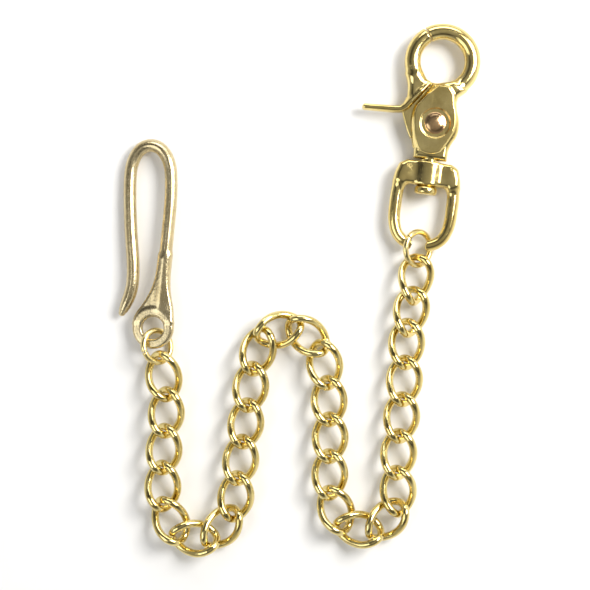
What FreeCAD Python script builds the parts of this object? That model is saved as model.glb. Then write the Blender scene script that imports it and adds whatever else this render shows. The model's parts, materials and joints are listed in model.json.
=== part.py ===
"""Pocket watch chain: belt hook, jump ring, twisted curb links, jump ring and a swivelling trigger snap.

Millimetres. The chain lies on a flat surface in four runs joined by U-turns. +Z is up off the surface,
+Y is along the runs towards the snap's eye, and the origin is under the middle of the whole chain.
"""
import FreeCAD, Part
import math
import os

V = FreeCAD.Vector
UP = V(0, 0, 1)

# Curb link: an oblong loop of round wire whose two ends are twisted opposite ways, so that a run lies flat
WIRE = 2.8
LINK_HALF_LENGTH = 8.4
LINK_HALF_WIDTH = 5.5
LINK_TWIST = 50.0
LINK_END_FLAT = 2.3
LINK_SIDE_FLAT = 4.2
PLAY = 0.35
TURN_SLACK = 1.3
TURN_DROP = 0.5
FULL_TURN = 60.0

# Route of the links: heading of each link, in degrees from +X, walking from the belt hook to the snap
HEADINGS = [
    -78, -93, -94, -90, -65, -8, 49, 83, 82, 82, 83, 74, 17, -40,
    -79, -87, -90, -91, -69, -12, 45, 93, 86, 85, 86, 87, 80, 84,
]
LOOSE = {26: 1.6, 27: 1.6}
ROLLED = {27: 8, 28: 16}
ROUTE_START = (-50.4, -24.8)

# Jump rings
RING_WIRE = 2.2
HOOK_RING_RADIUS = 5.9
SNAP_RING_RADIUS = 6.2
RING_TILT = 39.0
RING_PLAY = 1.9
RING_SPLIT = 0.25
HOOK_RING_SPLIT_AT = 100.0
SNAP_RING_SPLIT_AT = 55.0
BEND_SHARE = 0.45

# Belt hook: a round-section casting whose foot spreads into an eye plate
HOOK_BAR = 4.6
EYE_PLATE_RADIUS = 7.8
EYE_PLATE_HOLE = 4.1
EYE_PLATE_THICK = 3.0
EYE_PLATE_EDGE = 1.0
FOOT_THICK = 3.2
FOOT = [(-7.7, 1.8), (-5.6, 6.5), (-0.9, 13.6), (1.3, 20.5), (6.2, 20.5), (6.8, 10.6), (7.6, 2.5)]
HOOK_LEAN = 1.2
HOOK_ROLL = 8.0
HOOK_HEADING = 90.0
HOOK_ROUTE = [
    (-12.2, 4.9), (-10.6, 8.6), (-7.9, 14.4), (-7.5, 23.0), (-8.6, 35.5), (-9.1, 50.0), (-8.6, 60.0),
    (-5.6, 65.4), (-1.2, 66.9), (3.3, 65.3), (6.4, 60.2), (6.6, 49.5), (5.4, 34.5), (3.7, 20.5), (1.8, 6.2),
]

# Trigger snap, in its own frame: origin at the gate rivet, +Y along the stem towards the eye
SNAP_HEADING = 82.5
SNAP_THICK = 8.4
EYE_CENTRE = 23.4
EYE_RADIUS = 11.0
EYE_BAR = 6.1
EYE_BORE = 8.25
EYE_START_ANGLE = -78.0
NOSE_ANGLE = 124.0
GATE_GAP_ANGLE = 3.0
GATE_END_ANGLE = 216.0
SLOT_THICK = 3.4
GATE_THICK = 3.0
GATE_ROOT_THICK = 5.8
TAB_THICK = 4.8
TAB_CLEARANCE_RADIUS = 10.5
RIVET_RADIUS = 2.2
RIVET_HEAD_RADIUS = 4.0
RIVET_HEAD_THICK = 0.5
RIVET_DOME_RADIUS = 10.0
RIVET_DOME_TOP = 1.3
RIVET_RECESS_RADIUS = 5.5
RIVET_RECESS_DEPTH = 0.6
BORE_CLEARANCE = 0.05
STEM_RADIUS = 3.2
STEM_TOP = -13.4
HEAD_TOP = -14.2
HEAD_BOTTOM = -23.0
SHOULDER_THICK = 5.4
BUTTON_RADIUS = 4.2
BUTTON_TOP = -23.3
BUTTON_BOTTOM = -26.4
LOOP_BAR = 4.3
LOOP_BOTTOM = -45.4
LOOP_SIDE = [(8.6, -18.0), (10.5, -24.0), (10.5, -37.0), (8.4, -42.8), (3.6, LOOP_BOTTOM)]
SPRING_RADIUS = 3.05
SPRING_WIRE = 0.6
SPRING_TURNS = 3
SPRING_PITCH = 0.51
SPRING_POCKET_DEPTH = 1.8
SPRING_FLOOR_GAP = 0.1
OVERLAP = 1.0

# Height of the mid-plane of the whole chain, before it is lowered onto the surface
MID = 4.5


def direction(degrees):
    return V(math.cos(math.radians(degrees)), math.sin(math.radians(degrees)), 0)


def corners(points, closed):
    """For each corner of a route: start and end of its tangent arc, the arc's centre, axis and angle."""
    found = []
    count = len(points)
    for i in range(count):
        if not closed and i in (0, count - 1):
            continue
        before = points[i] - points[i - 1]
        after = points[(i + 1) % count] - points[i]
        turn = before.getAngle(after)
        trim = BEND_SHARE * min(before.Length, after.Length)
        radius = trim / math.tan(turn / 2)
        into = V(before).normalize()
        out = V(after).normalize()
        axis = into.cross(out).normalize()
        start = points[i] - into * trim
        centre = start + axis.cross(into) * radius
        found.append((start, points[i] + out * trim, centre, axis, math.degrees(turn), into))
    return found


def straight(start, end, radius):
    run = end - start
    return Part.makeCylinder(radius, run.Length, start, run)


def tube(points, radius, closed=False):
    """Round bar along straight runs joined by tangent arcs."""
    bends = corners(points, closed)
    pieces = []
    for start, end, centre, axis, angle, into in bends:
        disc = Part.Face(Part.Wire([Part.makeCircle(radius, start, into)]))
        pieces.append(disc.revolve(centre, axis, angle))
    for here, following in zip(bends, bends[1:]):
        pieces.append(straight(here[1], following[0], radius))
    if closed:
        pieces.append(straight(bends[-1][1], bends[0][0], radius))
    else:
        pieces.append(straight(points[0], bends[0][0], radius))
        pieces.append(straight(bends[-1][1], points[-1], radius))
    return pieces[0].multiFuse(pieces[1:]).removeSplitter()


def link_points():
    """Corners of the link's centreline: an eight-sided loop, wrung about its length."""
    a = LINK_HALF_LENGTH
    b = LINK_HALF_WIDTH
    flat = [(a, -LINK_END_FLAT), (a, LINK_END_FLAT), (LINK_SIDE_FLAT, b), (-LINK_SIDE_FLAT, b)]
    flat += [(-x, -y) for x, y in flat]
    points = []
    for x, y in flat:
        wring = -math.radians(LINK_TWIST) * x / a
        points.append(V(x, y * math.cos(wring), y * math.sin(wring)))
    return points


def turns():
    """In-plane turn at each junction, from the hook ring's to the snap ring's."""
    between = [b - a for a, b in zip(HEADINGS, HEADINGS[1:])]
    return [0] + between + [0]


def link_places():
    """Placement of each link and the crossing points between them, walking the route."""
    at_turn = turns()
    back_off = []
    for k, turn in enumerate(at_turn):
        slack = TURN_SLACK * (turn / FULL_TURN) ** 2 + LOOSE.get(k, 0)
        back_off.append((WIRE + PLAY + slack) / 2)
    junction = V(ROUTE_START[0], ROUTE_START[1], MID)
    junctions = [junction]
    places = []
    for k, heading in enumerate(HEADINGS):
        along = direction(heading)
        low = -TURN_DROP * at_turn[k] / FULL_TURN / 2
        high = TURN_DROP * at_turn[k + 1] / FULL_TURN / 2
        pitch = math.degrees(math.asin((high - low) / (2 * LINK_HALF_LENGTH)))
        centre = junction + along * (LINK_HALF_LENGTH - back_off[k]) + UP * ((low + high) / 2)
        turn = FreeCAD.Rotation(UP, heading) * FreeCAD.Rotation(V(0, 1, 0), -pitch)
        turn = turn * FreeCAD.Rotation(V(1, 0, 0), ROLLED.get(k + 1, 0))
        places.append(FreeCAD.Placement(centre, turn))
        junction = junction + along * (2 * LINK_HALF_LENGTH - back_off[k] - back_off[k + 1])
        junctions.append(junction)
    return places, junctions


def placed(shape, place):
    moved = shape.copy()
    moved.Placement = place.multiply(moved.Placement)
    return moved


def ring_centre(junction, outward, radius):
    """Centre of a jump ring whose near side crosses a link's end at the junction."""
    return junction + outward * (radius - (RING_WIRE / 2 + WIRE / 2 + PLAY) / 2)


def jump_ring(centre, outward, side, radius, split_at):
    """Split ring of round wire in the plane of its outward line and a sideways line tilted upward."""
    raised = side * math.cos(math.radians(RING_TILT)) + UP * math.sin(math.radians(RING_TILT))
    normal = outward.cross(raised)
    ring = Part.makeTorus(radius, RING_WIRE / 2, centre, normal)
    to_split = outward * math.cos(math.radians(split_at)) + raised * math.sin(math.radians(split_at))
    turn = FreeCAD.Rotation(normal.cross(to_split), to_split, normal, "XYZ")
    gap = Part.makeBox(RING_SPLIT, 2 * RING_WIRE, 2 * RING_WIRE, V(-RING_SPLIT / 2, -RING_WIRE, -RING_WIRE))
    gap = placed(gap, FreeCAD.Placement(centre + to_split * radius, turn))
    return ring.cut(gap)


def outline(steps):
    """Closed wire from (x, y) points; a step of two points is an arc through the first to the second."""
    edges = []
    here = V(steps[0][0], steps[0][1], 0)
    first = here
    for step in steps[1:] + [steps[0]]:
        if isinstance(step[0], tuple):
            middle = V(step[0][0], step[0][1], 0)
            there = V(step[1][0], step[1][1], 0)
            edges.append(Part.Arc(here, middle, there).toShape())
        else:
            there = V(step[0], step[1], 0)
            edges.append(Part.LineSegment(here, there).toShape())
        here = there
    return Part.Wire(edges)


def slab(steps, thick):
    """Flat piece of that outline, centred on the mid-plane."""
    return Part.Face(outline(steps)).extrude(V(0, 0, thick)).translated(V(0, 0, -thick / 2))


def upright(radius, thick):
    """Cylinder about the local Z axis, centred on the mid-plane."""
    return Part.makeCylinder(radius, thick, V(0, 0, -thick / 2))


def belt_hook():
    """U-shaped bar, its foot and eye plate, in the hook's own frame: origin at the hole, +Y up."""
    bar = tube([V(x, y, 0) for x, y in HOOK_ROUTE], HOOK_BAR / 2)
    tip = Part.makeSphere(HOOK_BAR / 2, V(HOOK_ROUTE[0][0], HOOK_ROUTE[0][1], 0))
    plate = upright(EYE_PLATE_RADIUS, EYE_PLATE_THICK).cut(upright(EYE_PLATE_HOLE, EYE_PLATE_THICK))
    rims = [edge for edge in plate.Edges if edge.Curve.TypeId == "Part::GeomCircle"]
    plate = plate.makeFillet(EYE_PLATE_EDGE, rims)
    around_hole = upright(EYE_PLATE_HOLE + EYE_PLATE_EDGE, 2 * HOOK_BAR)
    upper = bar.fuse([tip, slab(FOOT, FOOT_THICK)]).cut(around_hole)
    return upper.fuse(plate).removeSplitter()


def eye_arc(start, end):
    """Part of the snap's round eye between two angles from +X, its inside flattened to the bore."""
    disc = Part.Face(Part.Wire([Part.makeCircle(EYE_BAR / 2, V(EYE_RADIUS, 0, 0), V(0, 1, 0))]))
    inside = Part.makeBox(EYE_BORE, EYE_BAR, 2 * EYE_BAR, V(0, -EYE_BAR / 2, -EYE_BAR))
    arc = disc.cut(inside).Faces[0].revolve(V(0, 0, 0), UP, end - start)
    arc.rotate(V(0, 0, 0), UP, start)
    return arc.translated(V(0, EYE_CENTRE, 0))


def eye_hole():
    return Part.makeCylinder(EYE_BORE, 4 * SNAP_THICK, V(0, EYE_CENTRE, -2 * SNAP_THICK))


def lengthwise(radius, top, bottom):
    """Cylinder along the stem's axis."""
    return Part.makeCylinder(radius, top - bottom, V(0, bottom, 0), V(0, 1, 0))


def snap_body():
    """Casting with the fixed side of the eye, two cheeks for the gate and the stem with its peened button."""
    cheeks = slab([
        (-2.3, 14.6), (-8.3, 5.9), ((-8.9, 1.0), (-8.0, -4.0)), (-6.6, -9.0), (-6.2, STEM_TOP),
        (6.1, STEM_TOP), (6.3, -8.8), (8.3, -4.8), ((9.0, -0.8), (8.2, 3.8)), (6.9, 7.6), (7.4, 11.0),
        (9.9, 13.6), (5.0, 16.4),
    ], SNAP_THICK)
    slot = slab([
        (-14.0, -10.0), (-4.4, -10.0), (3.6, -4.6), ((5.4, 0.0), (3.9, 4.6)), (1.4, 8.4), (1.4, 20.0),
        (-14.0, 20.0),
    ], SLOT_THICK)
    body = cheeks.cut([slot, eye_hole()]).fuse(eye_arc(EYE_START_ANGLE, NOSE_ANGLE))
    stem = lengthwise(STEM_RADIUS, STEM_TOP + OVERLAP, BUTTON_TOP - OVERLAP)
    body = body.fuse([stem, lengthwise(BUTTON_RADIUS, BUTTON_TOP, BUTTON_BOTTOM)])
    seat = SNAP_THICK / 2 - RIVET_RECESS_DEPTH
    recess = Part.makeCylinder(RIVET_RECESS_RADIUS, RIVET_RECESS_DEPTH, V(0, 0, seat))
    return body.cut([upright(RIVET_RADIUS, 2 * SNAP_THICK), recess]).removeSplitter()


def gate():
    """Sprung lever that closes the eye: its root beside the cheeks, a web between them and a thumb tab."""
    arm = eye_arc(NOSE_ANGLE + GATE_GAP_ANGLE, GATE_END_ANGLE)
    root = slab([
        (-2.9, 14.9), (-9.2, 6.0), (-11.6, 3.0), (-13.6, 2.5), (-14.6, 5.3), (-12.5, 7.0), (-11.1, 11.4),
        (-13.4, 16.4), (-9.0, 18.6),
    ], GATE_ROOT_THICK)
    web = slab([
        (-3.2, 15.0), (0.6, 15.0), (0.6, 8.0), (3.4, 3.6), ((4.1, -1.4), (-0.6, -4.3)), (-8.3, -6.4),
        ((-10.4, -2.4), (-12.4, 2.8)), (-8.0, 11.0),
    ], GATE_THICK)
    tab = slab([
        (-12.2, 3.0), ((-19.6, 2.0), (-26.4, 1.9)), ((-27.4, 3.1), (-26.4, 4.3)),
        ((-20.4, 4.7), (-14.0, 5.6)), (-12.4, 6.8),
    ], TAB_THICK).cut(upright(TAB_CLEARANCE_RADIUS, SNAP_THICK))
    inner = root.fuse([web, tab]).cut(eye_hole())
    pocket = Part.makeCylinder(SPRING_RADIUS + SPRING_WIRE, SPRING_POCKET_DEPTH, V(0, 0, -GATE_THICK / 2))
    pivot = upright(RIVET_RADIUS + BORE_CLEARANCE, SNAP_THICK)
    return arm.fuse(inner).cut([pivot, pocket]).removeSplitter()


def rivet():
    """Pivot of the gate, flush at the back and domed in a recess at the front."""
    seat = SNAP_THICK / 2 - RIVET_RECESS_DEPTH
    head = Part.makeCylinder(RIVET_HEAD_RADIUS, RIVET_HEAD_THICK, V(0, 0, seat))
    dome = Part.makeSphere(RIVET_DOME_RADIUS, V(0, 0, seat + RIVET_DOME_TOP - RIVET_DOME_RADIUS))
    dome = dome.common(Part.makeCylinder(RIVET_HEAD_RADIUS, 2 * RIVET_DOME_TOP, V(0, 0, seat)))
    return upright(RIVET_RADIUS, SNAP_THICK).fuse([head, dome]).removeSplitter()


def spring():
    """Coil round the rivet, in the pocket behind the gate: closed turns that touch."""
    lowest = -GATE_THICK / 2 + SPRING_WIRE / 2 + SPRING_FLOOR_GAP
    coil = []
    for turn in range(SPRING_TURNS):
        coil.append(Part.makeTorus(SPRING_RADIUS, SPRING_WIRE / 2, V(0, 0, lowest + turn * SPRING_PITCH)))
    return coil[0].multiFuse(coil[1:])


def swivel_eye():
    """D-shaped loop whose head turns on the stem."""
    boss = slab([
        (-6.6, HEAD_TOP), (6.6, HEAD_TOP), (7.4, -17.0), (7.4, -21.0), (6.2, HEAD_BOTTOM),
        (-6.2, HEAD_BOTTOM), (-7.4, -21.0), (-7.4, -17.0),
    ], SNAP_THICK)
    half = [(8.4, -14.8), (10.8, -16.6), (12.2, -20.4), (12.5, -24.2), (8.6, -24.2), (8.0, HEAD_BOTTOM)]
    shoulders = slab(half + [(-x, y) for x, y in reversed(half)], SHOULDER_THICK)
    route = [V(-x, y, 0) for x, y in LOOP_SIDE] + [V(x, y, 0) for x, y in reversed(LOOP_SIDE)]
    whole = boss.fuse([shoulders, tube(route, LOOP_BAR / 2)])
    bore = lengthwise(STEM_RADIUS + BORE_CLEARANCE, HEAD_TOP + OVERLAP, HEAD_BOTTOM - OVERLAP)
    return whole.cut(bore).removeSplitter()


def layout():
    """Every piece by name, in place."""
    nodes = {}
    places, junctions = link_places()
    back = direction(HEADINGS[0]) * -1
    hook_ring_at = ring_centre(junctions[0], back, HOOK_RING_RADIUS)
    nodes["hook_ring"] = jump_ring(hook_ring_at, back, UP.cross(back), HOOK_RING_RADIUS, HOOK_RING_SPLIT_AT)
    rim = hook_ring_at + back * (HOOK_RING_RADIUS - RING_WIRE / 2 - RING_PLAY + EYE_PLATE_HOLE)
    lean = FreeCAD.Rotation(UP, HOOK_HEADING - 90) * FreeCAD.Rotation(V(1, 0, 0), -HOOK_LEAN)
    lean = lean * FreeCAD.Rotation(V(0, 1, 0), -HOOK_ROLL)
    nodes["belt_hook"] = placed(belt_hook(), FreeCAD.Placement(rim, lean))
    link = tube(link_points(), WIRE / 2, closed=True)
    for number, place in enumerate(places, 1):
        nodes["link_%02d" % number] = placed(link, place)
    ahead = direction(HEADINGS[-1])
    snap_ring_at = ring_centre(junctions[-1], ahead, SNAP_RING_RADIUS)
    nodes["snap_ring"] = jump_ring(snap_ring_at, ahead, UP.cross(ahead), SNAP_RING_RADIUS, SNAP_RING_SPLIT_AT)
    loop_at = snap_ring_at + ahead * (SNAP_RING_RADIUS - RING_WIRE / 2 - RING_PLAY - LOOP_BAR / 2)
    rivet_at = loop_at + direction(SNAP_HEADING) * -LOOP_BOTTOM
    snap_place = FreeCAD.Placement(rivet_at, FreeCAD.Rotation(UP, SNAP_HEADING - 90))
    nodes["swivel_eye"] = placed(swivel_eye(), snap_place)
    nodes["snap_body"] = placed(snap_body(), snap_place)
    nodes["gate"] = placed(gate(), snap_place)
    nodes["gate_rivet"] = placed(rivet(), snap_place)
    nodes["gate_spring"] = placed(spring(), snap_place)
    return nodes, {"junctions": junctions, "hook_ring": hook_ring_at, "rim": rim,
                   "snap_ring": snap_ring_at, "loop": loop_at, "rivet": rivet_at}


def origin_shift(nodes):
    """Move that puts the origin under the middle of the whole chain, on the surface."""
    box = Part.makeCompound(list(nodes.values())).optimalBoundingBox(False)
    return V(-(box.XMin + box.XMax) / 2, -(box.YMin + box.YMax) / 2, -box.ZMin)


def main():
    nodes, points = layout()
    shift = origin_shift(nodes)
    os.makedirs("parts", exist_ok=True)
    for name, shape in nodes.items():
        shape.translated(shift).exportStep("parts/%s.step" % name)
    return nodes, points, shift


if __name__ == "__main__":
    main()
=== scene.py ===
"""Looks of the pocket watch chain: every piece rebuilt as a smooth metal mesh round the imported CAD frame."""
import json
import math

import bpy
import numpy as np
from mathutils import Matrix, Vector


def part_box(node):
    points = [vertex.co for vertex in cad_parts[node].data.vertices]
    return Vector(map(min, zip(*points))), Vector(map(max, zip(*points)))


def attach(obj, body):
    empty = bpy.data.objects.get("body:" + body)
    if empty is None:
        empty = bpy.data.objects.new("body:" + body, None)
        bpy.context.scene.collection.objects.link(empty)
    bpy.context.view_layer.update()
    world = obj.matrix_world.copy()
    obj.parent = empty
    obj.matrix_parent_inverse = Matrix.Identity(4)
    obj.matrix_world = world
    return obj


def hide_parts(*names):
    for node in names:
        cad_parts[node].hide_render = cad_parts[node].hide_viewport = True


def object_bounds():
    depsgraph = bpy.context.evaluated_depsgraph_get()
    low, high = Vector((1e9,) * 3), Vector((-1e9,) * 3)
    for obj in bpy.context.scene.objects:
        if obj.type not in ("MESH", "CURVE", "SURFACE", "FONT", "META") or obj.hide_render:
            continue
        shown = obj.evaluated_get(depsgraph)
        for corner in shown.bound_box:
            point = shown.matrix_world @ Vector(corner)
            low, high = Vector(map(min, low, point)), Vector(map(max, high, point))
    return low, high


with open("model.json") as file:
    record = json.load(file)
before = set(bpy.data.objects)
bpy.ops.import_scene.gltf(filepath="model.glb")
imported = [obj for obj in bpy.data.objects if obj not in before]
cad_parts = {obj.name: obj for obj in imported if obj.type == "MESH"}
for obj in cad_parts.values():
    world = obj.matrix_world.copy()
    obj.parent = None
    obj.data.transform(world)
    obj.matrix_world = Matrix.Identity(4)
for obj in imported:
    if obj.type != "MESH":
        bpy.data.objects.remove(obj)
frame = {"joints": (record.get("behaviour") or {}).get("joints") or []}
CAD_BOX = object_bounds()
MM = 0.001

# Sizes are in millimetres and angles in degrees, unless a comment says otherwise

# Fillets and rounded edges that castings share
HAIR = 0.1
CRISP = 0.15
SHARP = 0.3
SOFT = 0.6

# Curb links. A link next to a turn tips by TURN_DROP for a turn of FULL_TURN
LINK_COUNT = 28
WIRE = 2.84
LINK_HALF_LENGTH = 8.4
LINK_HALF_WIDTH = 5.5
LINK_TWIST = 50.0
LINK_ROUNDNESS = 2.35
TURN_DROP = 0.5
FULL_TURN = 60.0
ROLLED = {27: 8, 28: 16}
LINK_ROWS = 132
SWELL = 0.004
SWELL_LIMIT = 1.012
SWELL_HARMONICS = (2, 3, 5, 7)
PHASES = 6.28
FIRST_SEED = 100
AROUND_WIRE = 28

# Jump rings. The CAD's wire and play give the place of what hangs on them
RING_WIRE = 2.16
HOOK_RING_RADIUS = 5.9
SNAP_RING_RADIUS = 6.2
RING_TILT = 39.0
RING_WIRE_CAD = 2.2
RING_PLAY = 1.9
RING_ROWS = 150
RING_SPLIT = 0.3
RING_END_TAPER = 0.86
HOOK_RING_SPLIT_AT = 100
SNAP_RING_SPLIT_AT = 55

# Belt hook, in its own frame: origin in the middle of its eye plate, +Y along the legs
HOOK_LEAN = 1.2
HOOK_ROLL = 8.0
EYE_PLATE_RADIUS = 7.8
EYE_PLATE_HOLE = 4.1
EYE_PLATE_THICK = 3.0
EYE_PLATE_EDGE = 1.2
EYE_HOLE_EDGE = 0.8
HOOK_HALF_WIDTH = 2.4
HOOK_HALF_HEIGHT = 2.28
HOOK_RIDGE = 1.75
HOOK_TIP_TAPER = (1.3, 1.75, 2.05, 2.25, 2.35)
HOOK_POINTS = 90
HOOK_SINK_POINTS = 13
HOOK_SUNK_WIDTH = 1.6
HOOK_SUNK_HEIGHT = 1.2
HOOK_ROUTE = [
    (-11.9, 5.6), (-10.4, 8.6), (-7.9, 14.4), (-7.5, 23.0), (-8.6, 35.5), (-9.1, 50.0), (-8.7, 60.5),
    (-5.7, 66.6), (-1.2, 68.6), (3.5, 66.6), (6.6, 60.6), (6.8, 49.5), (5.4, 34.5), (3.9, 20.5), (2.6, 8.0),
]
HOOK_FOOT_THICK = 3.2
HOOK_FOOT_EDGE = 1.3
HOOK_FOOT_FILLET = 2.2
EYE_PLATE_FILLET = 1.2
HOOK_FOOT = [
    (-7.6, 1.6), ((-6.9, 4.6), (-5.0, 7.6)), ((-1.8, 12.4), (0.4, 17.4)), ((1.6, 21.6), (2.4, 27.0)),
    (6.6, 27.0), ((6.1, 19.0), (6.9, 10.6)), ((7.6, 6.4), (7.7, 1.6)),
]

# Trigger snap, in its own frame: origin at the rivet, +Y along the stem towards the eye
SNAP_HEADING = 82.5
SNAP_THICK = 8.4
EYE_CENTRE = 23.4
EYE_RADIUS = 11.0
EYE_BAR = 6.1
NOSE_ANGLE = 124.0
NOSE_EXCESS = 8
GATE_EXCESS = 5
GATE_END_ANGLE = 214
GATE_GAP_ANGLE = 3.0
SLOT_THICK = 3.4
STEM_RADIUS = 3.2
HEAD_TOP = -14.2
HEAD_BOTTOM = -23.0
LOOP_BAR = 4.3
LOOP_SIDE = [(8.6, -18.0), (10.5, -24.0), (10.5, -37.0), (8.4, -42.8), (3.6, -45.4)]
EYE_OPENING = 8.0
RIVET_HOLE = 2.2
BORE_CLEARANCE = 0.06

# Snap body: cheeks, the raised face on them, the slot for the gate, stem and peened button
SHELL_THICK = 7.2
SHELL_EDGE = 1.8
FACE_EDGE = 0.45
EYE_FILLET = 1.8
EYE_START_ANGLE = -76
EYE_MIDDLE_ANGLE = 60
EYE_OVERLAP_ANGLE = 2
EYE_FINE = 24
SHELL = [
    (-2.3, 14.5), (-8.2, 5.9), ((-8.9, 1.0), (-8.0, -4.0)), ((-7.2, -7.6), (-6.4, -9.6)), (-6.2, -13.4),
    (6.1, -13.4), (6.2, -9.6), ((6.9, -7.2), (8.3, -4.6)), ((9.0, -0.8), (8.2, 3.8)),
    ((7.1, 7.4), (7.3, 11.0)), (9.9, 13.6), (5.0, 16.4),
]
FACE = [
    (-0.4, 14.0), (-4.0, 10.5), (-7.2, 6.2), ((-8.0, 3.0), (-7.6, -1.8)), ((-6.4, -7.2), (-4.9, -10.2)),
    ((-1.0, -11.4), (3.0, -10.3)), ((4.8, -7.2), (7.0, -2.5)), ((7.4, 2.4), (6.1, 7.2)), (5.4, 11.4),
    (3.4, 13.8),
]
SLOT = [
    (-14.0, -10.0), (-4.4, -10.0), (3.6, -4.6), ((5.4, 0.0), (3.9, 4.6)), (1.4, 8.4), (1.4, 20.0),
    (-14.0, 20.0),
]
RECESS_RADIUS = 5.5
RECESS_DEPTH = 0.6
STEM_MIDDLE = -18.5
STEM_LENGTH = 12.0
STEM_EDGE = 0.2
STEM_SLACK = 0.02
BUTTON_MIDDLE = -24.85
BUTTON_RADIUS = 4.2
BUTTON_THICK = 3.1
BUTTON_EDGE = 1.2
CHEEK_CORNER = (-2.3, 14.6)
CHEEK_RUN, CHEEK_RISE = 6.0, 8.7

# Gate: root, web between the cheeks, and the thumb lever, a bar that widens and thins along its route
ROOT_THICK = 5.8
ROOT_EDGE = 2.5
ROOT_FILLET = 2.0
ROOT = [
    (-3.4, 15.2), (-9.4, 6.2), (-11.6, 3.4), (-13.2, 3.6), ((-12.4, 6.6), (-11.4, 9.0)),
    ((-11.7, 13.2), (-12.7, 17.2)), (-9.0, 18.6),
]
WEB_THICK = 3.0
WEB_EDGE = 0.4
WEB = [
    (-3.2, 15.0), (0.6, 15.0), (0.6, 8.0), (3.4, 3.6), ((4.1, -1.4), (-0.6, -4.3)), (-8.3, -6.4),
    ((-10.4, -2.4), (-12.4, 2.8)), (-8.0, 11.0),
]
LEVER_ROUTE = [
    (-3.9, 14.6), (-6.6, 11.3), (-9.6, 7.4), (-11.2, 5.2), (-12.9, 4.0), (-15.6, 3.6), (-20.0, 3.4),
    (-26.2, 3.1),
]
LEVER_WIDTHS = [0.7, 1.15, 1.35, 1.4, 1.4, 1.35, 1.3, 1.25]
LEVER_HEIGHTS = [2.6, 3.1, 3.2, 3.0, 2.7, 2.5, 2.4, 2.3]
LEVER_SQUARENESS = 2.6
LEVER_FILLET = 0.7
CHEEK_REACH = 10.6
CHEEK_CLEARANCE = 0.4
POCKET_RADIUS = 3.65
POCKET_MIDDLE = -1.5
POCKET_DEPTH = 3.6

# Swivel head: an oval boss round the stem with a flatter shoulder on each side
BOSS_HALF_WIDTH = 5.9
BOSS_HALF_THICK = 4.2
BOSS_EDGE = 0.8
SHOULDER_THICK = 6.0
SHOULDER_EDGE = 1.5
LOOP_FILLET = 2.6
SHOULDER = [(8.0, HEAD_TOP), (10.6, -16.0), (11.7, -19.4), (11.8, -22.4), (8.6, -23.6), (7.6, HEAD_BOTTOM)]
LOOP_POINTS = 64
LOOP_SWELL = 0.18
LOOP_SWELL_FROM = -30.0
LOOP_SWELL_OVER = 12.0

# Rivet and spring
RIVET_SHANK = 2.18
RIVET_SEAT = SNAP_THICK / 2 - RECESS_DEPTH
WASHER_RADIUS = 4.0
WASHER_THICK = 0.5
WASHER_EDGE = 0.22
DOME_RADIUS = 9.0
DOME_RISE = 1.3
DOME_REACH = 3.8
DOME_FILLET = 0.2
SPRING_TURNS = 2.6
SPRING_RADIUS = 3.0
SPRING_WIRE_RADIUS = 0.22
SPRING_DEPTH = 1.15
SPRING_ROWS = 150
SPRING_STEP = 0.33
SPRING_AROUND = 12

# Metal: noise scales per metre, and depths in metres
DRIFT_SCALE = 90.0
DEEP_AT, LIGHT_AT = 0.3, 0.62
RUB_SCALE = 240.0
GLOSSY_AT, DULL_AT = 0.12, 0.42
SCRATCHES_ALONG_WIRE = (0.35, 5.0, 1.0)
SCRATCHES_IN_CASTING = (3400.0, 420.0, 3400.0)
LUMP_DEPTH = 0.0004
SCRATCH_DEPTH = 0.00005

# Studio, in metres and watts: place, width and length, power and colour of each light, then the room's
# brightness from below to above and from side to side
LIGHTS = {
    "key": ((0.42, 0.22, 0.50), (0.34, 0.34), 5.0, (1.0, 0.985, 0.96)),
    "fill": ((-0.45, -0.20, 0.55), (0.5, 0.5), 1.6, (0.97, 0.985, 1.0)),
    "rim": ((0.05, 0.60, 0.35), (0.6, 0.2), 1.5, (1, 1, 1)),
}
SIDE_REACH = 0.8
DIM_SIDE, BRIGHT_SIDE = 0.45, 1.15
WALL_TINT = (1, 0.985, 0.95)
CEILING = ((0.0, 0.92), (0.42, 0.72), (0.62, 0.24), (0.80, 0.05), (0.90, 0.26), (1.0, 0.40))
FLOOR_SIZE = 6
FLOOR_DROP = 0.00005
FLOOR_GRAIN = 900.0
FLOOR_DARK, FLOOR_PALE = (0.92, 0.915, 0.905, 1), (0.955, 0.95, 0.945, 1)

# Camera, straight above the middle of the layout and a little aside
LENS, SENSOR = 85.0, 36.0
PICTURE_WIDTH = 218.5185
CAMERA_SHIFT = (-0.9, -1.9)

# Boxes that the castings are meshed in: lowest and highest corner, round the piece
HOOK_BOX = (-15, -8.2, -2.6), (9.6, 69.9, 2.6)
BODY_BOX = (-9.2, -26.8, -4.4), (14.6, 38, 4.4)
GATE_BOX = (-28.2, -7.0, -3.4), (4.8, 36, 3.4)
SWIVEL_BOX = (-13.6, -48.2, -4.4), (13.6, -13.8, 4.4)
RIVET_BOX = (-4.2, -4.2, -4.4), (4.2, 4.2, 5.2)

# Grid steps of the meshed castings, the step and least square of their slopes
FINE = 0.26
STEP = FINE
RIVET_STEP = 0.6
SLOPE_STEP = 0.02
LEAST_SLOPE = 0.25


# ---------------------------------------------------------------- shapes as distance fields

def smooth_min(a, b, blend):
    """Union of two fields with a fillet of about that size between them."""
    h = np.clip(0.5 + 0.5 * (b - a) / blend, 0, 1)
    return b + (a - b) * h - blend * h * (1 - h)


def smooth_max(a, b, blend):
    """Overlap of two fields, with the edge between them eased by about that size."""
    return -smooth_min(-a, -b, blend)


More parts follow.
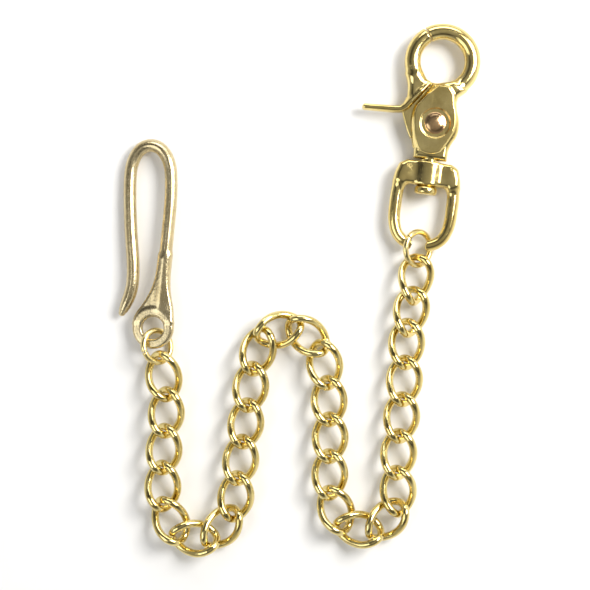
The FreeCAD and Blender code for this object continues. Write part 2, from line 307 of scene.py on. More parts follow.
def polygon_field(x, y, corners):
    """Signed distance in plan to a closed outline."""
    nearest = np.full(x.shape, 1e9)
    inside = np.zeros(x.shape, bool)
    for (ax, ay), (bx, by) in zip(corners, corners[1:] + corners[:1]):
        ex, ey = bx - ax, by - ay
        t = np.clip(((x - ax) * ex + (y - ay) * ey) / (ex * ex + ey * ey), 0, 1)
        nearest = np.minimum(nearest, np.hypot(x - ax - ex * t, y - ay - ey * t))
        crosses = (ay > y) != (by > y)
        if ey:
            inside ^= crosses & (x < ax + ex * (y - ay) / ey)
    return np.where(inside, -nearest, nearest)


def slab_field(p, corners, thick, edge):
    """Flat piece of that outline about the mid-plane, with rounded edges."""
    flat = polygon_field(p[0], p[1], corners) + edge
    tall = np.abs(p[2]) - thick / 2 + edge
    return np.hypot(np.maximum(flat, 0), np.maximum(tall, 0)) + np.minimum(np.maximum(flat, tall), 0) - edge


def disc_field(p, centre, radius, thick, edge, axis=2):
    """Round disc or stub with rounded edges, about the given axis."""
    q = [p[i] - centre[i] for i in range(3)]
    along = q.pop(axis)
    out = np.hypot(q[0], q[1]) - radius + edge
    tall = np.abs(along) - thick / 2 + edge
    return np.hypot(np.maximum(out, 0), np.maximum(tall, 0)) + np.minimum(np.maximum(out, tall), 0) - edge


def route_field(p, points, widths, heights, power=2.0):
    """Bar along a route in plan; its section is an ellipse, or has a ridge when the power is under two."""
    best = np.full(p[0].shape, 1e9)
    for i in range(len(points) - 1):
        (ax, ay), (bx, by) = points[i], points[i + 1]
        ex, ey = bx - ax, by - ay
        t = np.clip(((p[0] - ax) * ex + (p[1] - ay) * ey) / (ex * ex + ey * ey), 0, 1)
        side = np.hypot(p[0] - ax - ex * t, p[1] - ay - ey * t)
        wide = widths[i] + (widths[i + 1] - widths[i]) * t
        tall = heights[i] + (heights[i + 1] - heights[i]) * t
        across, up = side / wide, np.abs(p[2]) / tall
        reach = (across ** power + up ** power + 1e-9) ** (1 / power)
        steep = np.sqrt((across / wide) ** 2 + (up / tall) ** 2) + 1e-9
        best = np.minimum(best, np.sqrt(across ** 2 + up ** 2) * (reach - 1) / steep)
    return best


def arc_points(centre, radius, start, end, count):
    """Points along an arc in plan."""
    angles = np.radians(np.linspace(start, end, count))
    return [(centre[0] + radius * math.cos(a), centre[1] + radius * math.sin(a)) for a in angles]


def crossed_cells(values):
    """Which grid cells the surface crosses, and the sum and number of its crossings on each cell's edges."""
    inside = values < 0
    cell = [n - 1 for n in values.shape]
    corners = [(i, j, k) for i in (0, 1) for j in (0, 1) for k in (0, 1)]
    window = {c: tuple(slice(c[a], c[a] + cell[a]) for a in range(3)) for c in corners}
    total = np.zeros(cell)
    weight = np.zeros(cell)
    place = [np.zeros(cell) for _ in range(3)]
    for c in corners:
        total += inside[window[c]]
        for a in range(3):
            if c[a]:
                continue
            d = tuple(1 if i == a else c[i] for i in range(3))
            va, vb = values[window[c]], values[window[d]]
            cut = inside[window[c]] != inside[window[d]]
            t = np.where(cut, va / np.where(va == vb, 1, va - vb), 0)
            weight += cut
            for i in range(3):
                place[i] += cut * (c[i] + (t if i == a else 0))
    return (total > 0) & (total < len(corners)), place, weight


def quads_across(inside, index, axis):
    """Quads that join the four cells round each grid edge along that axis that the surface cuts."""
    b, c = (axis + 1) % 3, (axis + 2) % 3
    first = [slice(1, n - 1) for n in inside.shape]
    first[axis] = slice(0, inside.shape[axis] - 1)
    second = list(first)
    second[axis] = slice(1, inside.shape[axis])
    va, vb = inside[tuple(first)], inside[tuple(second)]
    at = np.argwhere(va != vb) + [int(i != axis) for i in range(3)]
    ring = []
    for db, dc in ((-1, -1), (0, -1), (0, 0), (-1, 0)):
        q = at.copy()
        q[:, b] += db
        q[:, c] += dc
        ring.append(index[q[:, 0], q[:, 1], q[:, 2]])
    quads = np.stack(ring, 1)
    turned = ~va[va != vb]
    quads[turned] = quads[turned][:, ::-1]
    return quads


def mesh_of_field(field, low, high, step):
    """Vertices and quads of the field's zero surface, by surface nets, each vertex then moved onto it."""
    axes = [np.arange(a - 2 * step, b + 2 * step, step) for a, b in zip(low, high)]
    values = field(np.meshgrid(*axes, indexing="ij"))
    active, place, weight = crossed_cells(values)
    index = np.full(active.shape, -1)
    index[active] = np.arange(active.sum())
    where = np.argwhere(active)
    verts = np.stack([
        axes[i][where[:, i]] + step * place[i][active] / weight[active] for i in range(3)
    ], 1)
    quads = np.concatenate([quads_across(values < 0, index, axis) for axis in range(3)])
    for _ in range(3):
        verts = onto_surface(field, verts)
    return verts, quads


def onto_surface(field, verts):
    """One step of each vertex along the field's slope towards its zero surface, at most half a grid step."""
    p = [verts[:, i] for i in range(3)]
    here = field(p)
    slope = np.zeros_like(verts)
    for i in range(3):
        q = list(p)
        q[i] = p[i] + SLOPE_STEP
        r = list(p)
        r[i] = p[i] - SLOPE_STEP
        slope[:, i] = (field(q) - field(r)) / (2 * SLOPE_STEP)
    steep = np.maximum((slope ** 2).sum(1), LEAST_SLOPE)
    move = -(here / steep)[:, None] * slope
    limit = 0.5 * STEP
    long = np.maximum(np.linalg.norm(move, axis=1) / limit, 1)[:, None]
    return verts + move / long


# ---------------------------------------------------------------- making objects

def make_piece(name, verts, faces, place, material, body, nodes):
    """A smooth mesh from millimetre points in a local frame, put in place and tied to its body."""
    mesh = bpy.data.meshes.new(name)
    world = np.asarray(verts) @ np.array(place.to_3x3()).T * MM + np.array(place.translation)
    mesh.from_pydata(world.tolist(), [], [tuple(int(i) for i in f) for f in faces])
    mesh.polygons.foreach_set("use_smooth", [True] * len(mesh.polygons))
    mesh.update()
    piece = bpy.data.objects.new(name, mesh)
    bpy.context.scene.collection.objects.link(piece)
    mesh.materials.append(material)
    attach(piece, body)
    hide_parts(*nodes)
    return piece


def field_piece(name, field, box, place, material, body, nodes, step=STEP):
    """A piece meshed from its field inside a box of its local frame."""
    verts, quads = mesh_of_field(field, *box, step)
    return make_piece(name, verts, quads, place, material, body, nodes)


def sweep(points, closed, radii, around):
    """Tube round a centreline of many points, as vertices and faces, its normal carried along untwisted."""
    pts = np.asarray(points, float)
    n = len(pts)
    if closed:
        tangent = np.roll(pts, -1, 0) - np.roll(pts, 1, 0)
    else:
        tangent = np.gradient(pts, axis=0)
    tangent /= np.linalg.norm(tangent, axis=1)[:, None]
    normal = np.zeros_like(pts)
    start = np.cross(tangent[0], [0.1, 0.2, 1.0])
    normal[0] = start / np.linalg.norm(start)
    for i in range(1, n):
        v = normal[i - 1] - tangent[i] * (normal[i - 1] @ tangent[i])
        normal[i] = v / np.linalg.norm(v)
    spin = np.zeros(n)
    if closed:
        v = normal[-1] - tangent[0] * (normal[-1] @ tangent[0])
        v /= np.linalg.norm(v)
        off = math.atan2(np.cross(v, normal[0]) @ tangent[0], v @ normal[0])
        spin = np.linspace(0, off, n, endpoint=False)
    side = np.cross(tangent, normal)
    angle = np.linspace(0, 2 * np.pi, around, endpoint=False)
    verts = np.zeros((n, around, 3))
    for i in range(n):
        a = angle + spin[i]
        ring = np.cos(a)[:, None] * normal[i] + np.sin(a)[:, None] * side[i]
        verts[i] = pts[i] + ring * radii[i]
    faces = []
    for i in range(n if closed else n - 1):
        k = (i + 1) % n
        for j in range(around):
            m = (j + 1) % around
            faces.append((i * around + j, k * around + j, k * around + m, i * around + m))
    if not closed:
        faces.append(tuple(range(around - 1, -1, -1)))
        faces.append(tuple((n - 1) * around + j for j in range(around)))
    return verts.reshape(-1, 3), faces


def resample(points, closed, count):
    """Even points along a polyline."""
    pts = np.asarray(points, float)
    if closed:
        pts = np.vstack([pts, pts[:1]])
    run = np.concatenate([[0], np.cumsum(np.linalg.norm(np.diff(pts, axis=0), axis=1))])
    at = np.linspace(0, run[-1], count, endpoint=not closed)
    return np.stack([np.interp(at, run, pts[:, i]) for i in range(3)], 1)


def rounded(points, share=0.48):
    """Points along an open route whose corners are replaced by smooth bends."""
    pts = [np.asarray(p, float) for p in points]
    out = [pts[0]]
    for before, corner, after in zip(pts, pts[1:], pts[2:]):
        back, ahead = corner - before, after - corner
        trim = share * min(np.linalg.norm(back), np.linalg.norm(ahead))
        a = corner - back / np.linalg.norm(back) * trim
        b = corner + ahead / np.linalg.norm(ahead) * trim
        for t in np.linspace(0, 1, 9):
            out.append((1 - t) ** 2 * a + 2 * t * (1 - t) * corner + t * t * b)
    return out + [pts[-1]]


def relaxed(points, rounds=4):
    """Points of an open line drawn towards their neighbours' middle, round after round, but for its ends."""
    pts = np.asarray(points, float)
    for _ in range(rounds):
        middle = (pts[:-2] + pts[2:]) / 2
        moved = pts.copy()
        moved[1:-1] += (middle - pts[1:-1]) * 0.5
        pts = moved
    return pts


def smooth_line(route, count):
    """Evenly spaced points along a route in plan, its corners rounded."""
    return relaxed(resample(rounded([(x, y, 0) for x, y in route]), False, count))


def outline(steps, fine=7):
    """Closed outline from points, where a step of two points is an arc through the first to the second."""
    out = [steps[0]]
    for step in steps[1:]:
        if not isinstance(step[0], tuple):
            out.append(step)
            continue
        a, m, b = Vector(out[-1]), Vector(step[0]), Vector(step[1])
        bulge = 2 * m - (a + b) / 2
        for t in np.linspace(0, 1, fine)[1:].tolist():
            q = (1 - t) ** 2 * a + 2 * t * (1 - t) * bulge + t * t * b
            out.append((q.x, q.y))
    return out


# ---------------------------------------------------------------- materials

def node(tree, kind, **settings):
    """A new shader node, with its inputs and settings given by name."""
    made = tree.nodes.new(kind)
    for key, value in settings.items():
        if key in made.inputs:
            made.inputs[key].default_value = value
        else:
            setattr(made, key, value)
    return made


def brass(name, light, deep, gloss, dull, lump, scratch, grain_size, along_wire):
    """Metal with drifting colour, rubbed and dull patches, fine scratches and the lumps of its making."""
    material = bpy.data.materials.new(name)
    material.use_nodes = True
    tree = material.node_tree
    shader = tree.nodes["Principled BSDF"]
    shader.inputs["Metallic"].default_value = 1.0
    link = tree.links.new
    place = node(tree, "ShaderNodeTexCoord").outputs["Object"]
    drift = node(tree, "ShaderNodeTexNoise", Scale=DRIFT_SCALE, Detail=4.0, Roughness=0.6)
    link(place, drift.inputs["Vector"])
    tone = node(tree, "ShaderNodeValToRGB")
    tone.color_ramp.elements[0].position = DEEP_AT
    tone.color_ramp.elements[0].color = (*deep, 1)
    tone.color_ramp.elements[1].position = LIGHT_AT
    tone.color_ramp.elements[1].color = (*light, 1)
    link(drift.outputs["Fac"], tone.inputs["Fac"])
    link(tone.outputs["Color"], shader.inputs["Base Color"])
    lines = node(tree, "ShaderNodeTexNoise", Scale=1.0, Detail=5.0, Roughness=0.65)
    stretch = node(tree, "ShaderNodeMapping")
    if along_wire:
        source = node(tree, "ShaderNodeAttribute", attribute_name="wire").outputs["Vector"]
        stretch.inputs["Scale"].default_value = SCRATCHES_ALONG_WIRE
    else:
        source = place
        stretch.inputs["Scale"].default_value = SCRATCHES_IN_CASTING
    link(source, stretch.inputs["Vector"])
    link(stretch.outputs["Vector"], lines.inputs["Vector"])
    rub = node(tree, "ShaderNodeTexNoise", Scale=RUB_SCALE, Detail=6.0, Roughness=0.7)
    link(place, rub.inputs["Vector"])
    both = node(tree, "ShaderNodeMath", operation="MULTIPLY")
    link(lines.outputs["Fac"], both.inputs[0])
    link(rub.outputs["Fac"], both.inputs[1])
    rough = node(tree, "ShaderNodeMapRange")
    rough.inputs["From Min"].default_value = GLOSSY_AT
    rough.inputs["From Max"].default_value = DULL_AT
    rough.inputs["To Min"].default_value = gloss
    rough.inputs["To Max"].default_value = dull
    link(both.outputs[0], rough.inputs["Value"])
    link(rough.outputs["Result"], shader.inputs["Roughness"])
    lumps = node(tree, "ShaderNodeTexNoise", Scale=grain_size, Detail=2.0, Roughness=0.5)
    link(place, lumps.inputs["Vector"])
    soft = node(tree, "ShaderNodeBump", Strength=lump, Distance=LUMP_DEPTH)
    link(lumps.outputs["Fac"], soft.inputs["Height"])
    cut = node(tree, "ShaderNodeBump", Strength=scratch, Distance=SCRATCH_DEPTH)
    link(lines.outputs["Fac"], cut.inputs["Height"])
    link(soft.outputs["Normal"], cut.inputs["Normal"])
    link(cut.outputs["Normal"], shader.inputs["Normal"])
    return material


CHAIN_BRASS = brass(
    "chain_brass", light=(0.81, 0.67, 0.29), deep=(0.66, 0.51, 0.18), gloss=0.05, dull=0.20,
    lump=0.12, scratch=0.2, grain_size=420.0, along_wire=True)
RING_BRASS = brass(
    "ring_brass", light=(0.86, 0.73, 0.36), deep=(0.74, 0.58, 0.22), gloss=0.16, dull=0.34,
    lump=0.06, scratch=0.2, grain_size=500.0, along_wire=True)
HOOK_BRASS = brass(
    "hook_brass", light=(0.69, 0.58, 0.35), deep=(0.60, 0.48, 0.26), gloss=0.18, dull=0.34,
    lump=0.10, scratch=0.30, grain_size=900.0, along_wire=False)
SNAP_BRASS = brass(
    "snap_brass", light=(0.84, 0.68, 0.29), deep=(0.68, 0.52, 0.18), gloss=0.08, dull=0.26,
    lump=0.14, scratch=0.2, grain_size=380.0, along_wire=False)
RIVET_BRASS = brass(
    "rivet_brass", light=(0.82, 0.56, 0.30), deep=(0.66, 0.40, 0.18), gloss=0.10, dull=0.28,
    lump=0.12, scratch=0.2, grain_size=600.0, along_wire=False)
STEEL = brass(
    "spring_steel", light=(0.56, 0.56, 0.57), deep=(0.40, 0.40, 0.42), gloss=0.2, dull=0.4,
    lump=0.1, scratch=0.3, grain_size=700.0, along_wire=True)


# ---------------------------------------------------------------- places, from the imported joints

JOINTS = {j["name"]: j for j in frame["joints"]}
BENDS = ["ring_link_01_bend"]
BENDS += ["link_%02d_%02d_bend" % (k, k + 1) for k in range(1, LINK_COUNT)]
BENDS += ["link_%02d_ring_bend" % LINK_COUNT]
CROSSINGS = [Vector(JOINTS[name]["pos_m"]) for name in BENDS]


def headings():
    """Direction in plan of each link, from crossing to crossing."""
    runs = [b - a for a, b in zip(CROSSINGS, CROSSINGS[1:])]
    return [math.degrees(math.atan2(run.y, run.x)) for run in runs]


def way(degrees):
    """Unit vector in plan at that heading."""
    return Vector((math.cos(math.radians(degrees)), math.sin(math.radians(degrees)), 0))


def place_of(at, heading, pitch=0.0, roll=0.0):
    """Place of a piece whose X axis points along the heading."""
    turn = Matrix.Rotation(math.radians(heading), 4, "Z") @ Matrix.Rotation(math.radians(-pitch), 4, "Y")
    return Matrix.Translation(at) @ turn @ Matrix.Rotation(math.radians(roll), 4, "X")


def link_place(k, heading, turn_before, turn_after):
    """Place of link k: its middle is that of its CAD node, tipped as the turns at its two ends ask."""
    low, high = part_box("link_%02d" % k)
    centre = (low + high) / 2
    back = -TURN_DROP * turn_before / FULL_TURN / 2
    front = TURN_DROP * turn_after / FULL_TURN / 2
    centre.z = CROSSINGS[k].z + (back + front) / 2 * MM
    pitch = math.degrees(math.asin((front - back) / (2 * LINK_HALF_LENGTH)))
    return place_of(centre, heading, pitch, ROLLED.get(k, 0))


# ---------------------------------------------------------------- chain

def link_line(count):
    """Centreline of a link: a rounded oblong, wrung about its length."""
    t = np.linspace(0, 2 * np.pi, 8 * count, endpoint=False)
    x = LINK_HALF_LENGTH * np.sign(np.cos(t)) * np.abs(np.cos(t)) ** (2 / LINK_ROUNDNESS)
    y = LINK_HALF_WIDTH * np.sign(np.sin(t)) * np.abs(np.sin(t)) ** (2 / LINK_ROUNDNESS)
    wring = -np.radians(LINK_TWIST) * x / LINK_HALF_LENGTH
    return resample(np.stack([x, y * np.cos(wring), y * np.sin(wring)], 1), True, count)


def wire_places(piece, rows, around, pitch_mm, wire_mm):
    """Attribute that runs along and round the wire, in millimetres, for drawn lines in the metal."""
    along = np.repeat(np.abs(np.arange(rows) - rows / 2) * pitch_mm, around)
    turn = np.tile(np.arange(around) * 2 * np.pi / around, rows)
    values = np.stack([along, np.cos(turn) * wire_mm, np.sin(turn) * wire_mm], 1).astype(np.float32)
    attribute = piece.data.attributes.new("wire", "FLOAT_VECTOR", "POINT")
    attribute.data.foreach_set("vector", values.ravel())


def make_links():
    """Every link, each with its own slight swelling of the wire."""
    line = link_line(LINK_ROWS)
    length = np.linalg.norm(np.roll(line, -1, 0) - line, axis=1).sum()
    directions = headings()
    turns = [0] + [b - a for a, b in zip(directions, directions[1:])] + [0]
    wave = np.linspace(0, 2 * np.pi, LINK_ROWS, endpoint=False)
    for k in range(1, LINK_COUNT + 1):
        rng = np.random.default_rng(FIRST_SEED + k)
        swell = np.ones(LINK_ROWS)
        for harmonic in SWELL_HARMONICS:
            swell += rng.normal(0, SWELL) * np.sin(harmonic * wave + rng.uniform(0, PHASES))
        radii = np.minimum(WIRE / 2 * swell, WIRE / 2 * SWELL_LIMIT)
        verts, faces = sweep(line, True, radii, AROUND_WIRE)
        name = "link_%02d" % k
        place = link_place(k, directions[k - 1], turns[k - 1], turns[k])
        piece = make_piece("curb_" + name, verts, faces, place, CHAIN_BRASS, name, [name])
        wire_places(piece, LINK_ROWS, AROUND_WIRE, length / LINK_ROWS, WIRE / 2)


def ring_line(radius, split_at, gap, count):
    """Open circle in the ring's own plane: X outward along the chain, Y to the raised side."""
    half = math.degrees(gap / 2 / radius)
    angles = np.radians(np.linspace(split_at + half, split_at + 360 - half, count))
    return np.stack([radius * np.cos(angles), radius * np.sin(angles), 0 * angles], 1)


def make_ring(name, outward, raised_side, radius, split_at):
    """A split ring that threads its link, one side raised. Returns its middle."""
    low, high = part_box(name)
    centre = (low + high) / 2
    tilt = math.radians(RING_TILT)
    raised = raised_side * math.cos(tilt) + Vector((0, 0, 1)) * math.sin(tilt)
    normal = outward.cross(raised)
    place = Matrix.Translation(centre) @ Matrix((outward, raised, normal)).transposed().to_4x4()
    line = ring_line(radius, split_at, RING_SPLIT, RING_ROWS)
    radii = np.full(RING_ROWS, RING_WIRE / 2)
    radii[[0, -1]] *= RING_END_TAPER
    verts, faces = sweep(line, False, radii, AROUND_WIRE)
    piece = make_piece("split_" + name, verts, faces, place, RING_BRASS, name, [name])
    wire_places(piece, RING_ROWS, AROUND_WIRE, 2 * math.pi * radius / RING_ROWS, RING_WIRE / 2)
    return centre


# ---------------------------------------------------------------- belt hook

def hook_field(p):
    """U-shaped bar with a ridge, thinned at its tip, whose other end sinks into a foot and a bored plate."""
    route = [(x, y) for x, y, _ in smooth_line(HOOK_ROUTE, HOOK_POINTS)]
    half_width = np.full(HOOK_POINTS, HOOK_HALF_WIDTH)
    half_width[:len(HOOK_TIP_TAPER)] = HOOK_TIP_TAPER
    half_height = np.minimum(half_width, HOOK_HALF_HEIGHT)
    half_height[-HOOK_SINK_POINTS:] = np.linspace(HOOK_HALF_HEIGHT, HOOK_SUNK_HEIGHT, HOOK_SINK_POINTS)
    half_width[-HOOK_SINK_POINTS:] = np.linspace(HOOK_HALF_WIDTH, HOOK_SUNK_WIDTH, HOOK_SINK_POINTS)
    bar = route_field(p, route, half_width, half_height, HOOK_RIDGE)
    foot = slab_field(p, outline(HOOK_FOOT), HOOK_FOOT_THICK, HOOK_FOOT_EDGE)
    plate = disc_field(p, (0, 0, 0), EYE_PLATE_RADIUS, EYE_PLATE_THICK, EYE_PLATE_EDGE)
    whole = smooth_min(smooth_min(bar, foot, HOOK_FOOT_FILLET), plate, EYE_PLATE_FILLET)
    out = np.hypot(p[0], p[1])
    rim_low = EYE_PLATE_HOLE + EYE_HOLE_EDGE
    rim_high = EYE_PLATE_THICK / 2 - EYE_HOLE_EDGE
    rim = np.hypot(np.maximum(rim_low - out, 0), np.maximum(np.abs(p[2]) - rim_high, 0)) - EYE_HOLE_EDGE
    return np.where(out < rim_low, np.maximum(whole, rim), whole)


def make_hook(place):
    """The belt hook."""
    field_piece("hook_casting", hook_field, HOOK_BOX, place, HOOK_BRASS,
                "belt_hook", ["belt_hook"])


# ---------------------------------------------------------------- trigger snap

def half_space(p, degrees):
    """Distance past the line from the eye's middle at that angle, positive on the anticlockwise side."""
    turn = math.radians(degrees)
    return -math.sin(turn) * p[0] + math.cos(turn) * (p[1] - EYE_CENTRE)


def eye_bar(p, start, end, count=16):
    """Part of the round eye's bar, between two angles."""
    points = arc_points((0, EYE_CENTRE), EYE_RADIUS, start, end, count)
    half = np.full(count, EYE_BAR / 2)
    return route_field(p, points, half, half)


def from_eye(p):
    """Distance in plan from the eye's middle."""
    return np.hypot(p[0], p[1] - EYE_CENTRE)


def body_field(p):
    """One casting: cheeks with a raised face and the gate's slot, half of the eye, stem and button."""
    cheeks = slab_field(p, outline(SHELL), SHELL_THICK, SHELL_EDGE)
    body = smooth_min(cheeks, slab_field(p, outline(FACE), SNAP_THICK, FACE_EDGE), SOFT)
    nose = eye_bar(p, EYE_MIDDLE_ANGLE, NOSE_ANGLE + NOSE_EXCESS)
    nose = smooth_max(nose, half_space(p, NOSE_ANGLE), SHARP)
    eye = eye_bar(p, EYE_START_ANGLE, EYE_MIDDLE_ANGLE + EYE_OVERLAP_ANGLE, EYE_FINE)
    body = smooth_min(body, np.minimum(eye, nose), EYE_FILLET)
    body = smooth_max(body, EYE_OPENING - from_eye(p), SOFT)
    body = smooth_max(body, -slab_field(p, outline(SLOT), SLOT_THICK, HAIR), CRISP)
    recess = disc_field(p, (0, 0, SNAP_THICK / 2), RECESS_RADIUS, 2 * RECESS_DEPTH, SHARP)
    body = smooth_max(body, -recess, SHARP)
    body = np.maximum(body, RIVET_HOLE - np.hypot(p[0], p[1]))
    stem = disc_field(p, (0, STEM_MIDDLE, 0), STEM_RADIUS - STEM_SLACK, STEM_LENGTH, STEM_EDGE, axis=1)
    button = disc_field(p, (0, BUTTON_MIDDLE, 0), BUTTON_RADIUS, BUTTON_THICK, BUTTON_EDGE, axis=1)
    return np.minimum(smooth_min(body, stem, SHARP), button)


def cheek_gap(p):
    """Distance in plan outside the sloping upper edge of the cheeks."""
    across = (p[1] - CHEEK_CORNER[1]) * CHEEK_RUN - (p[0] - CHEEK_CORNER[0]) * CHEEK_RISE
    return across / math.hypot(CHEEK_RUN, CHEEK_RISE)


def gate_field(p):
    """Moving half of the eye with its thumb lever, on a thin web that turns between the cheeks."""
    arm = eye_bar(p, NOSE_ANGLE - GATE_EXCESS, GATE_END_ANGLE)
    arm = smooth_max(arm, -half_space(p, NOSE_ANGLE + GATE_GAP_ANGLE), SHARP)
    root = slab_field(p, outline(ROOT), ROOT_THICK, ROOT_EDGE)
    lever = route_field(p, LEVER_ROUTE, LEVER_WIDTHS, LEVER_HEIGHTS, LEVER_SQUARENESS)
    thick = smooth_min(smooth_min(arm, root, ROOT_FILLET), lever, LEVER_FILLET)
    thick = smooth_max(thick, EYE_OPENING - from_eye(p), SOFT)
    from_rivet = np.hypot(p[0], p[1])
    thick = np.maximum(np.maximum(thick, CHEEK_REACH - from_rivet), CHEEK_CLEARANCE - cheek_gap(p))
    web = slab_field(p, outline(WEB), WEB_THICK, WEB_EDGE)
    web = smooth_max(web, EYE_OPENING - from_eye(p), SHARP)
    pocket = disc_field(p, (0, 0, POCKET_MIDDLE), POCKET_RADIUS, POCKET_DEPTH, HAIR)
    whole = np.maximum(smooth_min(thick, web, CRISP), -pocket)
    return np.maximum(whole, RIVET_HOLE + BORE_CLEARANCE - from_rivet)


def swivel_field(p):
    """D-shaped loop under a bored head."""
    oval = np.sqrt((p[0] / BOSS_HALF_WIDTH) ** 2 + (p[2] / BOSS_HALF_THICK) ** 2 + 1e-9)
    middle = (HEAD_TOP + HEAD_BOTTOM) / 2
    tall = np.abs(p[1] - middle) - (HEAD_TOP - HEAD_BOTTOM) / 2
    boss = smooth_max((oval - 1) * BOSS_HALF_THICK, tall, BOSS_EDGE)
    corners = SHOULDER + [(-x, y) for x, y in reversed(SHOULDER)]
    head = smooth_min(boss, slab_field(p, corners, SHOULDER_THICK, SHOULDER_EDGE), SOFT)
    head = smooth_max(head, p[1] - HEAD_TOP, SHARP)
    sides = [(-x, y) for x, y in LOOP_SIDE] + list(reversed(LOOP_SIDE))
    line = smooth_line(sides, LOOP_POINTS)
    depth = (LOOP_SWELL_FROM - line[:, 1]) / LOOP_SWELL_OVER
    half_width = LOOP_BAR / 2 + LOOP_SWELL * np.clip(1 - depth, 0, 1)
    half_height = np.full(LOOP_POINTS, LOOP_BAR / 2)
    loop = route_field(p, [(x, y) for x, y, _ in line], half_width, half_height)
    whole = smooth_max(smooth_min(head, loop, LOOP_FILLET), p[1] - HEAD_TOP, HAIR)
    return np.maximum(whole, STEM_RADIUS + BORE_CLEARANCE - np.hypot(p[0], p[2]))


def rivet_field(p):
    """Shank through the cheeks, a flat washer and a low dome on it."""
    shank = disc_field(p, (0, 0, -RECESS_DEPTH / 2), RIVET_SHANK, SNAP_THICK - RECESS_DEPTH, CRISP)
    washer = disc_field(p, (0, 0, RIVET_SEAT + RECESS_DEPTH / 2), WASHER_RADIUS, WASHER_THICK, WASHER_EDGE)
    ball_z = p[2] - RIVET_SEAT - DOME_RISE + DOME_RADIUS
    ball = np.sqrt(p[0] ** 2 + p[1] ** 2 + ball_z ** 2) - DOME_RADIUS
    dome = np.maximum(ball, RIVET_SEAT + HAIR - p[2])
    dome = smooth_max(dome, np.hypot(p[0], p[1]) - DOME_REACH, SHARP)
    return smooth_min(np.minimum(shank, washer), dome, DOME_FILLET)


def make_spring(place):
    """Coil spring in the gate's pocket."""
    turns = np.linspace(0, SPRING_TURNS * 2 * np.pi, SPRING_ROWS)
    height = -SPRING_DEPTH + np.linspace(0, SPRING_DEPTH, SPRING_ROWS)
    line = np.stack([SPRING_RADIUS * np.cos(turns), SPRING_RADIUS * np.sin(turns), height], 1)
    verts, faces = sweep(line, False, np.full(SPRING_ROWS, SPRING_WIRE_RADIUS), SPRING_AROUND)
    piece = make_piece("gate_return_spring", verts, faces, place, STEEL,
                       "snap_body", ["gate_spring"])
    wire_places(piece, SPRING_ROWS, SPRING_AROUND, SPRING_STEP, SPRING_WIRE_RADIUS)


def make_snap(place):
    """The trigger snap: body, gate, swivel loop, rivet and spring."""
    field_piece("snap_casting", body_field, BODY_BOX, place, SNAP_BRASS,
                "snap_body", ["snap_body"])
    field_piece("gate_lever", gate_field, GATE_BOX, place, SNAP_BRASS,
                "gate", ["gate"])
    field_piece("swivel_loop", swivel_field, SWIVEL_BOX, place, SNAP_BRASS,
                "swivel_eye", ["swivel_eye"])
    field_piece("gate_rivet_domed", rivet_field, RIVET_BOX, place, RIVET_BRASS,
                "snap_body", ["gate_rivet"], step=RIVET_STEP * STEP)
    make_spring(place)


# ---------------------------------------------------------------- assembly

def make_object():
    """The chain and both jump rings, and the hook and snap hung on them."""
    directions = headings()
    make_links()
    back, ahead = -way(directions[0]), way(directions[-1])
    up = Vector((0, 0, 1))
    hook_ring = make_ring("hook_ring", back, up.cross(back), HOOK_RING_RADIUS, HOOK_RING_SPLIT_AT)
    make_ring("snap_ring", ahead, up.cross(ahead), SNAP_RING_RADIUS, SNAP_RING_SPLIT_AT)
    rim = hook_ring + back * ((HOOK_RING_RADIUS - RING_WIRE_CAD / 2 - RING_PLAY + EYE_PLATE_HOLE) * MM)
    lean = Matrix.Rotation(math.radians(-HOOK_LEAN), 4, "X")
    roll = Matrix.Rotation(math.radians(-HOOK_ROLL), 4, "Y")
    make_hook(Matrix.Translation(rim) @ (lean @ roll))
    rivet_at = Vector(JOINTS["gate_pivot"]["pos_m"])
    make_snap(place_of(rivet_at, SNAP_HEADING - 90))


# ---------------------------------------------------------------- floor, light and camera

def make_floor():
    """Pale matt floor just under the object."""
    bpy.ops.mesh.primitive_plane_add(size=FLOOR_SIZE, location=(0, 0, CAD_BOX[0].z - FLOOR_DROP))
    floor = bpy.context.object
    floor.name = "floor"
    material = bpy.data.materials.new("floor")
    material.use_nodes = True
    tree = material.node_tree
    shader = tree.nodes["Principled BSDF"]
    shader.inputs["Roughness"].default_value = 0.7
    shader.inputs["Specular IOR Level"].default_value = 0.25
    speck = node(tree, "ShaderNodeTexNoise", Scale=FLOOR_GRAIN, Detail=3.0)
    tone = node(tree, "ShaderNodeValToRGB")
    tone.color_ramp.elements[0].color = FLOOR_DARK
    tone.color_ramp.elements[1].color = FLOOR_PALE
    tree.links.new(speck.outputs["Fac"], tone.inputs["Fac"])
    tree.links.new(tone.outputs["Color"], shader.inputs["Base Color"])
    floor.data.materials.append(material)


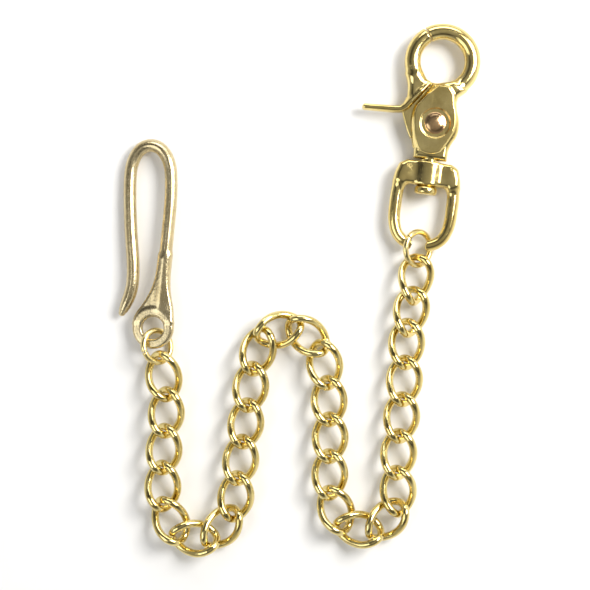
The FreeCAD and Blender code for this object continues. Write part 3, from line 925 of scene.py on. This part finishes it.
def area_light(name, at, size, power, colour):
    """Rectangular light aimed at the origin."""
    data = bpy.data.lights.new(name, "AREA")
    data.shape = "RECTANGLE"
    data.size, data.size_y = size
    data.energy = power
    data.color = colour
    lamp = bpy.data.objects.new(name, data)
    lamp.location = at
    lamp.rotation_euler = (-Vector(at)).to_track_quat("-Z", "Y").to_euler()
    bpy.context.scene.collection.objects.link(lamp)


def make_world():
    """Studio room: pale walls, a grey ceiling with a darker ring round it, dimmer on the left."""
    world = bpy.data.worlds.new("studio")
    bpy.context.scene.world = world
    world.use_nodes = True
    tree = world.node_tree
    tree.nodes.clear()
    out = node(tree, "ShaderNodeOutputWorld")
    back = node(tree, "ShaderNodeBackground")
    split = node(tree, "ShaderNodeSeparateXYZ")
    ramp = node(tree, "ShaderNodeValToRGB")
    while len(ramp.color_ramp.elements) < len(CEILING):
        ramp.color_ramp.elements.new(0.5)
    for stop, (at, value) in zip(ramp.color_ramp.elements, CEILING):
        stop.position = at
        stop.color = (*(value * tint for tint in WALL_TINT), 1)
    place = node(tree, "ShaderNodeTexCoord")
    side = node(tree, "ShaderNodeMapRange")
    side.inputs["From Min"].default_value = -SIDE_REACH
    side.inputs["From Max"].default_value = SIDE_REACH
    side.inputs["To Min"].default_value = DIM_SIDE
    side.inputs["To Max"].default_value = BRIGHT_SIDE
    tree.links.new(place.outputs["Generated"], split.inputs["Vector"])
    tree.links.new(split.outputs["Z"], ramp.inputs["Fac"])
    tree.links.new(split.outputs["X"], side.inputs["Value"])
    tree.links.new(ramp.outputs["Color"], back.inputs["Color"])
    tree.links.new(side.outputs["Result"], back.inputs["Strength"])
    tree.links.new(back.outputs["Background"], out.inputs["Surface"])


def make_camera():
    """Straight down, framed on the middle of the laid-out chain."""
    data = bpy.data.cameras.new("camera")
    data.lens, data.sensor_width = LENS, SENSOR
    data.clip_start, data.clip_end = 0.01, 20
    camera = bpy.data.objects.new("camera", data)
    middle = (CAD_BOX[0] + CAD_BOX[1]) / 2
    height = PICTURE_WIDTH * MM * LENS / SENSOR
    camera.location = middle + Vector((CAMERA_SHIFT[0] * MM, CAMERA_SHIFT[1] * MM, height))
    bpy.context.scene.collection.objects.link(camera)
    bpy.context.scene.camera = camera


make_object()
make_floor()
make_world()
for light_name, light in LIGHTS.items():
    area_light(light_name, *light)
make_camera()
bpy.context.scene.view_settings.view_transform = "Standard"
